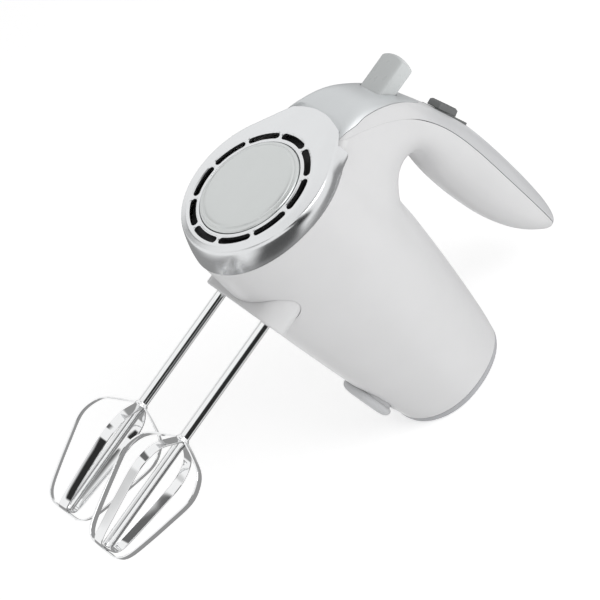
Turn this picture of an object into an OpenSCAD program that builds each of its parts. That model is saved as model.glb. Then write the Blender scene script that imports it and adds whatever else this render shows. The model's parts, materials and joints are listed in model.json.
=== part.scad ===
// Hand mixer parked on its heel.
// The mixer is drawn in its own axes and then stood on its heel by on_heel():
//   x = up (from the beaters to the handle), y = right, z = forward (towards the badge).
// x = 0 is the flat underside of the motor housing, z = 0 the plane of the two beaters.

/* [Beaters] */
// Distance between the two beaters
beater_pitch = 44; // [42:0.5:46]
// Diameter of a beater shaft
shaft_d = 6; // [5.6:0.1:6.2]
// Largest radius of a whisk
whisk_r = 25.6; // [24:0.1:26]
// Length of a whisk
whisk_len = 71.5; // [68:0.5:74]
// Bare shaft between the housing and a whisk
shaft_bare = 75; // [65:1:85]
// Width of a whisk's flat blades
blade_w = 5.4; // [4:0.1:6]
// Thickness of a whisk's flat blades
blade_t = 1; // [0.8:0.1:1.2]
// Turn of the left whisk about its shaft
left_turn = 20; // [15:1:25]
// Turn of the right whisk, whose blades pass between the left one's
right_turn = 35; // [20:1:35]

/* [Casing] */
// Wall thickness of the moulded shells
wall = 2.4; // [2:0.1:3]
// Lean of the front face
face_tilt = 10; // [9:0.5:11]
// Lean of the heel
heel_tilt = 8.5; // [8:0.5:9]
// Thickness of the heel cover
heel_t = 6; // [5:0.5:7]
// Radius of the badge disc
badge_r = 30.2; // [28:0.1:31]
// Number of slots in the vent ring
slot_count = 10; // [8:1:12]

/* [Controls] */
// Travel of the eject button
eject_travel = 9; // [7:0.5:9]
// Width of the eject button
button_w = 19; // [17:0.5:20]
// Depth of the eject button, front to back
button_d = 10.4; // [9:0.1:11]
// Height of the eject button's top above the underside
button_top = 158.2; // [154:0.1:159]

/* [Drive] */
// Height of the motor shaft
axis_x = 46; // [45:0.5:47]
// Outer radius of the worm
worm_r = 5; // [4.8:0.1:5.2]
// Teeth on a worm wheel
wheel_teeth = 30; // [24:1:36]

/* [Hidden] */

shell_white = [0.93, 0.93, 0.92];
satin_silver = [0.78, 0.79, 0.79];
control_grey = [0.62, 0.65, 0.64];
steel = [0.72, 0.73, 0.75];
copper = [0.78, 0.45, 0.25];
nylon = [0.90, 0.88, 0.80];
dark = [0.18, 0.18, 0.19];

hs = beater_pitch / 2;             // a beater's distance from the centre plane
face_x = 53.4;                     // height of the badge's centre
face_z = 45;                       // distance of the badge's centre in front of the beaters
cap_tilt = 6;                      // lean of the cap's rear edge
cap_back = -12.7;                  // rear edge of the cap, behind the badge's centre
flare_dir = 54.2;                  // where the cap's straight flanks leave its oval, in degrees
flare_r = 45.66;                   // the flanks' distance from the oval's middle
flare_end = 17;                    // most that the outline runs out
notch_x = 97.2;                    // the cap ends here where the neck rises out of it
notch_z = 35.5;                    // front edge of the top panel
heel_mid = [41, 0, -153.4];        // centre of the heel's parting plane
seam_x = 146.3;                    // parting line of the handle's cover
bore_r = shaft_d / 2 + 0.05;       // running bore of a spindle
spindle_r = 5;                     // outside of a spindle
wheel_r = hs - worm_r - 0.15;      // outside of a worm wheel, just clear of the worm
port_r = 11;                       // round ends of the beater port
shaft_top = 52;                    // a beater shaft's top inside its spindle
whisk_top = -shaft_bare;           // where the blades leave the shaft
slider_z = -34;                    // middle of the slider's thumb
slider_x = 151.4;                  // height of the handle's crown under the slider
slider_tilt = 13;                  // slope of the handle's crown there
button_z = 12;                     // middle of the eject button
gland_x = 145;                     // height of the cord's way in, at the end of the handle
foot_z = -117;                     // middle of the foot
fork_x = 69 + eject_travel;        // underside of the ejector's crossbar, clear of the gearbox
ring_n = 36;                       // points round a section of the casing
hull_n = 32;                       // facets of a rounded boss inside a hull

// ---------- placing ----------

// Stands the mixer on its heel: the heel's outer face becomes z = 0.
module on_heel() {
    translate([0, 0, heel_t])
        rotate([0, -heel_tilt, 0])
            translate(-heel_mid)
                children();
}

// Puts children in the heel's own frame, with +z towards the front.
module at_heel() {
    translate(heel_mid)
        rotate([0, heel_tilt, 0])
            children();
}

// Puts children in the front face's frame: origin at the badge's centre, z out of the face.
module at_face() {
    translate([face_x, 0, face_z])
        rotate([0, face_tilt, 0])
            children();
}

// Puts children in the slider's frame: origin on the handle's crown, z along the travel.
module at_slider() {
    translate([slider_x, 0, slider_z])
        rotate([0, -slider_tilt, 0])
            children();
}

// A cylinder along the mixer's up axis, from x0 to x1.
module post(x0, x1, r, n = 48) {
    translate([x0, 0, 0])
        rotate([0, 90, 0])
            cylinder(h = x1 - x0, r = r, $fn = n);
}

// A tube along the up axis.
module tube_up(x0, x1, r_out, r_in) {
    difference() {
        post(x0, x1, r_out);
        post(x0 - 1, x1 + 1, r_in);
    }
}

// A tube along the motor's axis.
module ring_z(z0, z1, r_out, r_in) {
    translate([axis_x, 0, z0])
        difference() {
            cylinder(h = z1 - z0, r = r_out, $fn = 64);
            translate([0, 0, -1])
                cylinder(h = z1 - z0 + 2, r = r_in, $fn = 48);
        }
}

module both_sides() {
    for (s = [-1, 1])
        translate([0, s * hs, 0])
            children();
}

// ---------- smooth shapes ----------

function clamp_index(list, i) = list[max(0, min(len(list) - 1, i))];

// Catmull-Rom curve through rows of numbers.
function on_curve(list, u) =
    let (i = min(len(list) - 2, floor(u)), t = u - i,
         a = clamp_index(list, i - 1), b = list[i],
         c = list[i + 1], d = clamp_index(list, i + 2))
    0.5 * (2 * b + (c - a) * t + (2 * a - 5 * b + 4 * c - d) * t * t
           + (3 * b - a - 3 * c + d) * t * t * t);

function resampled(list, count) =
    [for (k = [0:count]) on_curve(list, k * (len(list) - 1) / count)];

function signed_power(v, p) = sign(v) * pow(abs(v), p);

// Closed section: [across, along] for each angle, squarer where the exponent is larger.
function section(half_w, far, near, e_far, e_near) =
    [for (k = [0:ring_n - 1])
        let (a = 360 * k / ring_n, e = cos(a) > 0 ? e_far : e_near)
        [half_w * signed_power(sin(a), 2 / e),
         (cos(a) > 0 ? far : near) * signed_power(cos(a), 2 / e)]];

// Solid through a list of rings with equal numbers of points.
module loft(rings) {
    n = len(rings[0]);
    last = len(rings) - 1;
    polyhedron(
        points = [for (r = rings) for (p = r) p],
        faces = concat(
            [[for (k = [0:n - 1]) k]],
            [[for (k = [n - 1:-1:0]) last * n + k]],
            [for (i = [0:last - 1]) for (k = [0:n - 1])
                let (a = i * n + k, b = i * n + (k + 1) % n)
                each [[a, a + n, b + n], [a, b + n, b]]]));
}

// Motor housing: z at the ring's middle, underside, top, half width, height of the widest place.
housing_rows = [
    [-155.8, 4, 78, 30.5, 37],
    [-146, 3, 80.6, 31.8, 38],
    [-130, 1.8, 84, 34, 40],
    [-100, 0.4, 89.6, 37.5, 43],
    [-70, 0, 94.6, 40.3, 47],
    [-40, 0, 99, 42.4, 50.5],
    [-10, 1, 101.6, 43.8, 54],
    [12, 3.2, 103, 44.2, 56],
    [32.5, 5.6, 103.6, 44, 57]];

function housing_ring(r, t) =
    let (back = -153.8, front = 32.5, f = (r[0] - back) / (front - back),
         lean = tan(heel_tilt) + (tan(cap_tilt) - tan(heel_tilt)) * f,
         mid = r[4])
    [for (p = section(r[3] - t, r[2] - mid - t, mid - r[1] - t, 2.05, 2.05))
        [mid + p[1], p[0], r[0] - lean * (mid + p[1] - 50)]];

module housing_form(t = 0, count = 16) {
    rows = resampled(housing_rows, count);
    past = rows[count] + [t > 0 ? 5 : 3, 0, 0, 0, 0];
    loft([for (r = concat(rows, [past])) housing_ring(r, t)]);
}

// Neck and handle: outer edge [z, x], inner edge [z, x], half width, squareness of the outer half.
neck_rows = [
    [38, 86, -50, 82, 33, 6],
    [37, 100, -38, 96, 30.5, 7],
    [35.5, 109, -28, 105, 26.8, 7],
    [30.5, 121, -25, 113, 23.5, 6],
    [22, 130.5, -25.6, 119.4, 21.6, 5],
    [8, 140, -29, 123.2, 20.2, 4],
    [-12, 146.6, -36, 122.6, 19.3, 3],
    [-30, 151.2, -46, 120.8, 18.8, 2.6],
    [-50, 155, -58, 119.8, 18.4, 2.5],
    [-75, 156.4, -77, 120, 18, 2.5],
    [-104, 156.2, -102, 122.2, 17.6, 2.5],
    [-126, 155.2, -122, 126.6, 16.6, 2.4],
    [-139, 153.8, -136, 132, 14.6, 2.4],
    [-147.5, 151.6, -146, 138, 12.2, 2.4],
    [-151.4, 149.2, -151, 141.2, 9, 2.3]];

function neck_ring(r, t) =
    let (mid_z = (r[0] + r[2]) / 2, mid_x = (r[1] + r[3]) / 2,
         dz = (r[0] - r[2]) / 2, dx = (r[1] - r[3]) / 2,
         len_h = sqrt(dz * dz + dx * dx), k = (len_h - t) / len_h)
    [for (p = section(r[4] - t, 1, 1, r[5], 2.2))
        [mid_x + dx * k * p[1], p[0], mid_z + dz * k * p[1]]];

module neck_form(t = 0, count = 28) {
    rows = resampled(neck_rows, count);
    loft([for (k = [t > 0 ? count - 1 : count:-1:0]) neck_ring(rows[k], t)]);
}

// Front cap in the face's frame: z, lowest, highest, half width, height of the widest place, lean.
cap_rows = [
    [cap_back, -46, 52.6, 44, 4, tan(face_tilt - cap_tilt)],
    [-9.5, -45.3, 52.6, 45, 4, 0.045],
    [-5.5, -43.9, 52, 45.9, 4, 0.02],
    [-2, -42.3, 50.6, 46, 4, 0],
    [-0.4, -41.4, 49.4, 45.2, 4, 0]];

// How far the outline runs out past its oval towards the neck: a straight flank that starts
// flare_dir to each side of the top.
function flare(p) =
    let (a = abs(atan2(p[0], p[1])),
         out = flare_r / cos(min(a, flare_dir) - flare_dir) - flare_r)
    a < flare_dir ? flare_end * (1 - 2 / (exp(2 * out / flare_end) + 1)) : 0;

function cap_ring(r, t, dz) =
    [for (q = section(r[3] - t, r[2] - r[4] - t, r[4] - r[1] - t, 2, 2))
        let (grow = 1 + 0.7 * max(0, min(1, (-r[0] - 2) / 10)), p = q * (1 + grow * flare(q) / norm(q)))
        [r[4] + p[1], p[0], r[0] + r[5] * (r[4] + p[1]) + dz]];

// The cap's outside, or with t its hollow, which runs out past the rear edge.
module cap_form(t = 0) {
    rim = [0.4, -38.6, 40.4, 39.2, 0.6, 0];
    rows = concat(resampled(cap_rows, 8), [rim]);
    at_face()
        loft(concat(t == 0 ? [] : [cap_ring(rows[0], t, -5)], [for (r = rows) cap_ring(r, t, -t)]));
}

// Everything in front of the cap's rear edge.
module cap_zone() {
    at_face()
        translate([0, 0, cap_back])
            rotate([0, cap_tilt - face_tilt, 0])
                translate([-80, -80, 0])
                    cube([160, 160, 60]);
}

// ---------- zones that part the casing ----------

// Everything above the handle's parting line.
module cover_zone(gap = 0) {
    edge = resampled([[38, 95], [31, 105], [20, 117], [6, 129], [-9, 137.6], [-31, 143.9], [-58, 146.3], [-100, 146.5],
                      [-148, 146.6], [-170, 147]], 24);
    translate([0, 40, 0])
        rotate([90, 0, 0])
            linear_extrude(80)
                polygon(concat([for (p = edge) [p[1] + gap, p[0]]], [[170, -170], [170, 38]]));
}

// The strip between the two arches, in plan: it narrows and ends in a round tongue.
module panel_zone(gap = 0) {
    side = resampled([[60, 26], [34, 25.5], [27, 21.5], [17, 18.5], [5, 15.5], [-5, 11.5], [-10, 7], [-12.5, 0]], 14);
    translate([94, 0, 0])
        rotate([0, 90, 0])
            linear_extrude(70)
                polygon([for (s = [-1, 1]) for (k = [0:14])
                    let (p = side[s < 0 ? k : 14 - k])
                    [-p[0], s * (p[1] + gap)]]);
}

// The space in front of and below which the cap lies.
module behind_notch(gap = 0) {
    translate([notch_x + gap, -60, -60])
        cube([100, 120, 60 + notch_z - gap]);
}

// ---------- casing ----------

module screw_boss(x0, x1, y, z, r) {
    hull() {
        translate([0, y, z]) post(x0, x0 + 1, r + 1, hull_n);
        translate([0, y, z]) post(x1 - 1, x1, r, hull_n);
    }
}

module motor_housing() {
    color(shell_white)
        difference() {
            union() {
                housing_form();
                difference() {
                    neck_form();
                    translate([0, -60, -200])
                        cube([70, 120, 300]);
                }
            }
            difference() {
                union() {
                    housing_form(wall);
                    neck_form(wall);
                }
                // webs and bosses left standing inside
                for (z = [-128, -98])
                    for (s = [-1, 1])
                        screw_boss(4, 14, s * 18, z, 3.4);
                for (z = [-138, -112])
                    for (s = [-1, 1])
                        screw_boss(128, 145, s * 7, z, 2.6);
            }
            // open ends for the cap, the heel cover and the beater port
            at_heel()
                translate([-60, -60, -40])
                    cube([120, 120, 40]);
            difference() {
                cap_zone();
                behind_notch();
            }
            port_slab(-5, 30);
            cover_zone();
            intersection() {
                panel_zone();
                behind_notch(-1);
                neck_form(-1);
                translate([94, -60, -60])
                    cube([80, 120, 120]);
            }
            foot_slab(-20, 6, -wall);
            // mouth for the cord gland in the end of the handle
            translate([gland_x, 0, -160])
                cylinder(h = 20, r = 3.6, $fn = 32);
        }
}

module handle_cover() {
    color(satin_silver)
        difference() {
            intersection() {
                neck_form();
                cover_zone();
            }
            difference() {
                neck_form(wall);
                for (z = [-138, -112])
                    for (s = [-1, 1])
                        screw_boss(147.5, 158, s * 7, z, 2.4);
                for (z = [-92, -74])
                    for (s = [-1, 1])
                        screw_boss(147.5, 158, s * 9, z, 1.6);
            }
            panel_zone();
            // slot for the slider's stem
            at_slider()
                translate([-9, -3, -14])
                    cube([18, 6, 22]);
            at_slider()
                translate([-2.2, -6.5, -17])
                    cube([8, 13, 28]);
            translate([gland_x, 0, -160])
                cylinder(h = 20, r = 3.6, $fn = 32);
        }
}

module top_panel() {
    color(satin_silver)
        difference() {
            intersection() {
                neck_form();
                panel_zone();
                behind_notch();
            }
            difference() {
                neck_form(wall);
                for (z = [-4, 24])
                    for (s = [-1, 1])
                        screw_boss(z > 0 ? 100 : 120, z > 0 ? 128 : 145, s * 12, z, 1.8);
            }
            // well for the eject button
            translate([90, 0, button_z])
                rotate([0, 90, 0])
                    linear_extrude(80)
                        button_outline(0.6);
        }
}

module slot_cut() {
    rotate(90)
        for (k = [0:slot_count - 1])
            rotate(k * 360 / slot_count + 18)
                for (a = [-13, 0])
                    hull()
                        for (b = [a, a + 13])
                            rotate(b)
                                translate([34.7, 0, -6])
                                    cylinder(h = 12, r = 2, $fn = 16);
}

module front_cap() {
    color(satin_silver)
        difference() {
            cap_form();
            difference() {
                cap_form(wall);
                at_face()
                    translate([0, 0, -5])
                        cylinder(h = 5, r = badge_r + 1.4, $fn = 72);
            }
            at_face() {
                slot_cut();
                translate([0, 0, -2])
                    cylinder(h = 10, r = badge_r + 0.3, $fn = 72);
            }
            behind_notch();
        }
}

module badge_disc() {
    color(satin_silver)
        at_face()
            rotate_extrude($fn = 96)
                polygon([[0, -1.9], [badge_r, -1.9], [badge_r, 0.6], [badge_r - 1.6, 2], [badge_r - 8, 2.4],
                         [0, 2.7]]);
}

// Outline of the heel in its own plane, grown by g.
module heel_outline(g) {
    polygon([for (p = section(30.5 + g, 37.4 + g + 4, 33.4 + g, 2.05, 2.05)) [-4 + p[1], p[0]]]);
}

module heel_cover() {
    color(satin_silver)
        at_heel()
            difference() {
                union() {
                    translate([0, 0, -heel_t])
                        linear_extrude(heel_t - 2.5)
                            heel_outline(-0.8);
                    translate([0, 0, -2.5])
                        linear_extrude(2.5)
                            heel_outline(0);
                    linear_extrude(5)
                        heel_outline(-wall - 0.2);
                }
                translate([0, 0, -heel_t + 3])
                    linear_extrude(20)
                        heel_outline(-wall - 2.2);
                heel_screw_places()
                    translate([0, 0, -20])
                        cylinder(h = 40, r = 1.7, $fn = 24);
                heel_screw_places()
                    translate([0, 0, -heel_t - 1])
                        cylinder(h = 2.6, r = 3.2, $fn = 32);
            }
}

module heel_screw_places() {
    for (p = [[-27, 0], [22, 14], [22, -14]])
        translate([p[0], p[1], 0])
            children();
}

module heel_screws() {
    color(steel)
        at_heel()
            heel_screw_places() {
                translate([0, 0, -heel_t + 0.2])
                    cylinder(h = 1.4, r = 2.9, $fn = 32);
                translate([0, 0, -heel_t + 1.6])
                    cylinder(h = 12, r = 1.4, $fn = 24);
            }
}

// Rounded foot that hooks on the rim of a bowl.
module foot_slab(x0, x1, g) {
    translate([x0, 0, foot_z])
        rotate([0, 90, 0])
            linear_extrude(x1 - x0)
                hull()
                    for (s = [-1, 1])
                        translate([s * 3.4, 0])
                            circle(r = 14 + g, $fn = 64);
}

module bowl_rest_foot() {
    color(satin_silver)
        difference() {
            union() {
                foot_slab(-1, 6, -wall);
                foot_slab(-2.6, 0.6, 0);
                foot_slab(-3.4, -2.6, -1);
                foot_slab(-4, -3.4, -2.6);
            }
            foot_slab(-1.8, 7, -wall - 2);
        }
}

// Stadium under the housing where the beaters go in.
module port_slab(x0, x1, g = 0) {
    translate([x0, 0, -1])
        rotate([0, 90, 0])
            linear_extrude(x1 - x0)
                hull()
                    both_ends()
                        circle(r = port_r + g, $fn = 64);
}

module both_ends() {
    for (s = [-1, 1])
        translate([0, s * hs])
            children();
}

module beater_port() {
    color(shell_white)
        difference() {
            port_slab(0, 22, -0.1);
            port_slab(2, 23, -2);
            both_sides()
                post(-1, 3, 4.4);
        }
}

module cord_gland() {
    color(control_grey)
        translate([gland_x, 0, 2])
            difference() {
                union() {
                    translate([0, 0, -153.6])
                        cylinder(h = 9, r = 3.5, $fn = 48);
                    translate([0, 0, -148])
                        cylinder(h = 1.6, r = 4.4, $fn = 48);
                }
                translate([0, 0, -160])
                    cylinder(h = 20, r = 2.4, $fn = 32);
            }
}

module cord_clamp() {
    color(nylon)
        translate([137, 0, -127])
            difference() {
                translate([-2, -8.6, -3.4])
                    cube([5, 17.2, 6.8]);
                for (s = [-1, 1])
                    translate([0, s * 6.4, 0])
                        post(-5, 6, 1.6, 24);
            }
}

module handle_screws() {
    color(steel)
        for (s = [-1, 1])
            translate([0, s * 6.4, -127]) {
                post(134, 140, 1.5, 24);
                post(140, 141.6, 2.6, 32);
            }
}

// ---------- gearbox ----------

module gear_plate(x0, x1) {
    translate([x0, 0, 0])
        rotate([0, 90, 0])
            linear_extrude(x1 - x0)
                difference() {
                    union() {
                        hull()
                            for (s = [-1, 1])
                                translate([0, s * (hs - 3)])
                                    circle(r = 13.6, $fn = 64);
                        square([36, 24], center = true);
                    }
                    both_ends()
                        circle(r = 8, $fn = 48);
                    plate_holes()
                        circle(r = 1.7, $fn = 24);
                }
}

module plate_holes() {
    for (s = [-1, 1])
        for (z = [-15, 15])
            translate([z, s * 8.4])
                children();
}

module gearbox_base() {
    color(nylon)
        union() {
            gear_plate(25, 28);
            for (s = [-1, 1])
                for (z = [-15, 15])
                    translate([0, s * 8.4, z])
                        tube_up(28, 60, 2.6, 1.2);
        }
}

module gearbox_cover() {
    color(nylon)
        gear_plate(60, 63);
}

module gearbox_screws() {
    color(steel)
        for (s = [-1, 1])
            for (z = [-15, 15])
                translate([0, s * 8.4, z]) {
                    post(52, 63.2, 1.15, 24);
                    post(63.2, 64.6, 2.4, 32);
                }
}

module spindle_bushes() {
    color(copper)
        both_sides() {
            tube_up(24, 29, 7.9, spindle_r + 0.05);
            tube_up(59, 64, 7.9, spindle_r + 0.05);
        }
}

module spindle() {
    color(steel)
        tube_up(16, 66, spindle_r, bore_r);
}

module worm_wheel() {
    color(nylon)
        translate([axis_x - 6, 0, 0])
            rotate([0, 90, 0])
                linear_extrude(12)
                    difference() {
                        circle(r = wheel_r - 1.4, $fn = 96);
                        circle(r = spindle_r, $fn = 48);
                    }
    color(nylon)
        translate([axis_x - 6, 0, 0])
            rotate([0, 90, 0])
                linear_extrude(12)
                    difference() {
                        for (k = [0:wheel_teeth - 1])
                            rotate((k + 0.5) * 360 / wheel_teeth)
                                translate([wheel_r - 2.2, -0.8])
                                    polygon([[0, 0], [2.1, 0.35], [2.1, 1.25], [0, 1.6]]);
                        circle(r = wheel_r - 1.5, $fn = 96);
                    }
}

module beater_clip() {
    color(steel)
        tube_up(66, 67.2, spindle_r + 1.2, bore_r + 0.3);
}

// ---------- motor ----------

module motor_shaft() {
    color(steel)
        translate([axis_x, 0, -96])
            cylinder(h = 128, r = 2.5, $fn = 48);
}

module worm() {
    color(steel)
        translate([axis_x, 0, -12])
            rotate_extrude($fn = 64)
                polygon(concat([[2.5, 24], [2.5, 0]],
                    [for (k = [0:7]) each
                        [[worm_r - 1.9, k * 3 + 0.1], [worm_r, k * 3 + 1], [worm_r, k * 3 + 1.9],
                         [worm_r - 1.9, k * 3 + 2.8]]],
                    [[worm_r - 1.9, 24]]));
}

module front_bearing() {
    color(copper)
        ring_z(15.2, 20, 5.4, 2.55);
}

module rear_bearing() {
    color(copper)
        ring_z(-93, -88, 5.4, 2.55);
}

module rear_bracket() {
    color(steel)
        difference() {
            union() {
                translate([axis_x - 31, -8, -92])
                    cube([62, 16, 2.4]);
                for (s = [-1, 1])
                    translate([axis_x + s * 25.4, 0, -92])
                        cylinder(h = 25.8, r = 2.6, $fn = 32);
            }
            translate([axis_x, 0, -95])
                cylinder(h = 10, r = 5.4, $fn = 48);
            for (s = [-1, 1])
                translate([axis_x + s * 25.4, 0, -95])
                    cylinder(h = 40, r = 1.6, $fn = 24);
        }
}

module stator_outline() {
    difference() {
        intersection() {
            square([64, 52], center = true);
            circle(r = 35, $fn = 96);
        }
        circle(r = 15.4, $fn = 72);
        for (s = [-1, 1])
            translate([s * 19, 0])
                square([8.4, 34], center = true);
        for (s = [-1, 1])
            translate([s * 25.4, 0])
                circle(r = 1.6, $fn = 24);
    }
}

module stator_core() {
    color(steel)
        translate([axis_x, 0, -66])
            linear_extrude(24)
                stator_outline();
}

module field_coils() {
    color(copper)
        for (s = [-1, 1])
            translate([axis_x + s * 19, 0, -54])
                difference() {
                    translate([-3.6, -16.4, -19])
                        cube([7.2, 32.8, 38]);
                    translate([-5, -11, -12.4])
                        cube([10, 22, 24.8]);
                }
}

module stator_screws() {
    color(steel)
        for (s = [-1, 1])
            translate([axis_x + s * 25.4, 0, 0]) {
                translate([0, 0, -93.6])
                    cylinder(h = 53, r = 1.5, $fn = 24);
                translate([0, 0, -95])
                    cylinder(h = 2.6, r = 2.7, $fn = 32);
            }
}

module armature_core() {
    color(steel)
        translate([axis_x, 0, -66])
            linear_extrude(24)
                difference() {
                    circle(r = 14.9, $fn = 96);
                    circle(r = 2.5, $fn = 48);
                    for (k = [0:11])
                        rotate(k * 30)
                            translate([12, 0])
                                square([7, 2.4], center = true);
                }
}

module armature_winding() {
    color(copper)
        for (z = [-71.6, -42])
            ring_z(z, z + 5.6, 12.6, 2.5);
}

module commutator() {
    color(copper)
        translate([axis_x, 0, -85])
            linear_extrude(12)
                difference() {
                    circle(r = 9, $fn = 72);
                    circle(r = 2.5, $fn = 48);
                    for (k = [0:11])
                        rotate(k * 30 + 15)
                            translate([8.8, 0])
                                square([1.6, 0.5], center = true);
                }
}

module cooling_fan() {
    color(nylon)
        union() {
            ring_z(22, 30, 5, 2.5);
            ring_z(22, 23.6, 30, 4.9);
            for (k = [0:10])
                translate([axis_x, 0, 23.5])
                    rotate(k * 360 / 11)
                        translate([4.5, -0.6, 0])
                            cube([25, 1.2, 5]);
        }
}

module brush_holders() {
    color(nylon)
        for (s = [-1, 1])
            translate([axis_x, s * 21, -79])
                difference() {
                    translate([-4.6, -9, -4.2])
                        cube([9.2, 18, 8.4]);
                    translate([-3, -12, -2.6])
                        cube([6, 24, 5.2]);
                }
}

module brushes() {
    color(dark)
        for (s = [-1, 1])
            translate([axis_x - 2.9, s > 0 ? 9.2 : -21.2, -81.5])
                cube([5.8, 12, 5]);
}

module brush_springs() {
    color(steel)
        for (s = [-1, 1])
            for (k = [0:4])
                translate([axis_x, s * (22 + k * 1.7), -79])
                    rotate([90, 0, 0])
                        rotate_extrude($fn = 32)
                            translate([1.8, 0])
                                circle(r = 0.35, $fn = 16);
}

// ---------- electrics ----------

module control_board() {
    color([0.16, 0.35, 0.22])
        difference() {
            translate([22, -17, -116])
                cube([40, 34, 1.6]);
            for (x = [26, 58])
                translate([x, 13, -118])
                    cylinder(h = 5, r = 1.4, $fn = 24);
        }
}

module suppressor() {
    color(copper)
        translate([34, -8, -114.4])
            cube([16, 16, 8]);
}

module switch_block() {
    color(dark)
        at_slider()
            difference() {
                translate([-19, -9, -20])
                    cube([8, 18, 34]);
                translate([-15, -5, -17])
                    cube([6, 10, 28]);
            }
}

module switch_contacts() {
    color(copper)
        at_slider()
            for (k = [0:4])
                translate([-15, -4, -15 + k * 5.4])
                    cube([0.8, 8, 2.6]);
}

module detent_spring() {
    color(steel)
        at_slider()
            for (s = [-1, 1])
                translate([-14.2, s * 4.5 - 0.25, -15])
                    cube([3, 0.5, 24]);
}

// Insulated wires from the switch down the neck to the brushes.
module motor_leads() {
    route = resampled([[133, -11, -30], [126, -10, -17], [112, -9, -8], [98, -10, -20], [88, -15, -44],
                       [84, -21, -62], [70, -24, -74], [54, -26, -79]], 24);
    color([0.6, 0.1, 0.1])
        for (m = [0, 1])
            mirror([0, m, 0])
                loft([for (i = [0:24])
                    let (p = route[i], q = clamp_index(route, i + 1), o = clamp_index(route, i - 1), d = q - o,
                         dir = d / norm(d), a = cross(dir, [0, 1, 0.001]), u = a / norm(a), v = cross(dir, u))
                    [for (k = [0:7]) p + 1.1 * (u * cos(45 * k) + v * sin(45 * k))]]);
}

module slider_bezel() {
    color(control_grey)
        at_slider()
            difference() {
                translate([-2.2, -6.5, -17])
                    cube([3, 13, 28]);
                translate([-5, -3, -14])
                    cube([10, 6, 22]);
            }
}

// ---------- moving controls ----------

module speed_slider() {
    color(control_grey)
        at_slider()
            union() {
                translate([1, -5.5, -7.5])
                    cube([3.8, 11, 15]);
                for (k = [0:4])
                    translate([4.7, -5, -6.2 + k * 2.7])
                        cube([0.6, 10, 1.6]);
                translate([-13.2, -2.6, -3])
                    cube([14.4, 5.2, 6]);
            }
}

module button_outline(g) {
    offset(r = 2.4 + g)
        square([button_d - 4.8, button_w - 4.8], center = true);
}

module button_bar(x0, x1, g) {
    translate([x0, 0, button_z])
        rotate([0, 90, 0])
            linear_extrude(x1 - x0)
                button_outline(g);
}

module eject_button() {
    color(control_grey)
        difference() {
            union() {
                button_bar(118, button_top - 1, 0);
                button_bar(button_top - 1, button_top, -1.4);
            }
            button_bar(117, button_top - 8, -2);
        }
}

module eject_fork() {
    color(nylon)
        union() {
            button_bar(fork_x + 6, 136, -2.6);
            translate([fork_x, -hs - 5, -5])
                cube([6, 2 * hs + 10, 10]);
            translate([fork_x, -5, -5])
                cube([6, 10, button_z + 8]);
        }
}

module fork_pins() {
    color(steel)
        both_sides()
            post(shaft_top + 0.2, fork_x, shaft_d / 2 - 0.3);
}

module eject_spring() {
    color(steel)
        for (k = [0:4])
            both_sides()
                translate([65.2 + k * 3, 0, 0])
                    rotate([0, 90, 0])
                        rotate_extrude($fn = 40)
                            translate([7.2, 0])
                                circle(r = 0.45, $fn = 16);
}

// ---------- beaters ----------

// Outside of a blade: [depth below the whisk's top, radius].
function blade_line() = resampled(
    [[0, 3.4], [3.2, 10.6], [8.6, 20], [16, whisk_r - 1.2], [24.5, whisk_r], [38, whisk_r - 3],
     [52, whisk_r - 6.6], [64.5, whisk_r - 10.4], [69.4, whisk_r - 13.6]], 24);

// A closed band bent in one plane: both blades and the flat bottom that joins them.
module loop_band(inset) {
    line = blade_line();
    full = concat(
        [for (p = line) [-min(p[0], whisk_len - inset - 1.6), p[1] - inset]],
        [[-whisk_len + inset, whisk_r - 17]]);
    inner = [for (i = [0:len(full) - 1])
        let (a = full[max(i - 1, 0)], b = full[min(i + 1, len(full) - 1)], d = b - a,
             n = [-d[1], d[0]] / norm(d))
        full[i] + n * blade_t];
    half = concat(full, [[-whisk_len + inset, 0], [-whisk_len + inset + blade_t, 0]],
        [for (i = [len(inner) - 1:-1:0]) inner[i]]);
    for (m = [0, 1])
        mirror([0, m])
            polygon(half);
}

module loop(inset, turn) {
    color(steel)
        difference() {
            translate([whisk_top, 0, 0])
                rotate([turn, 0, 0])
                    translate([0, 0, -blade_w / 2])
                        linear_extrude(blade_w)
                            loop_band(inset);
            post(whisk_top - 8, whisk_top + 8, shaft_d / 2 + 0.02);
        }
}

module beater_shaft() {
    color(steel)
        union() {
            post(whisk_top - whisk_len + 2.6, shaft_top, shaft_d / 2);
        }
}

module left() {
    translate([0, -hs, 0])
        children();
}

module right() {
    translate([0, hs, 0])
        children();
}

on_heel() motor_housing();
on_heel() handle_cover();
on_heel() top_panel();
on_heel() front_cap();
on_heel() badge_disc();
on_heel() heel_cover();
on_heel() bowl_rest_foot();
on_heel() beater_port();
on_heel() cord_gland();
on_heel() cord_clamp();
on_heel() handle_screws();
on_heel() heel_screws();
on_heel() gearbox_base();
on_heel() gearbox_cover();
on_heel() gearbox_screws();
on_heel() spindle_bushes();
on_heel() front_bearing();
on_heel() rear_bearing();
on_heel() rear_bracket();
on_heel() stator_core();
on_heel() field_coils();
on_heel() stator_screws();
on_heel() brush_holders();
on_heel() brushes();
on_heel() brush_springs();
on_heel() control_board();
on_heel() suppressor();
on_heel() switch_block();
on_heel() switch_contacts();
on_heel() detent_spring();
on_heel() motor_leads();
on_heel() slider_bezel();
on_heel() motor_shaft();
on_heel() worm();
on_heel() armature_core();
on_heel() armature_winding();
on_heel() commutator();
on_heel() cooling_fan();
on_heel() eject_button();
on_heel() eject_fork();
on_heel() fork_pins();
on_heel() eject_spring();
on_heel() speed_slider();
on_heel() left() spindle();  // left_spindle
on_heel() left() worm_wheel();  // left_worm_wheel
on_heel() left() beater_clip();  // left_beater_clip
on_heel() right() spindle();  // right_spindle
on_heel() right() worm_wheel();  // right_worm_wheel
on_heel() right() beater_clip();  // right_beater_clip
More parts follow.
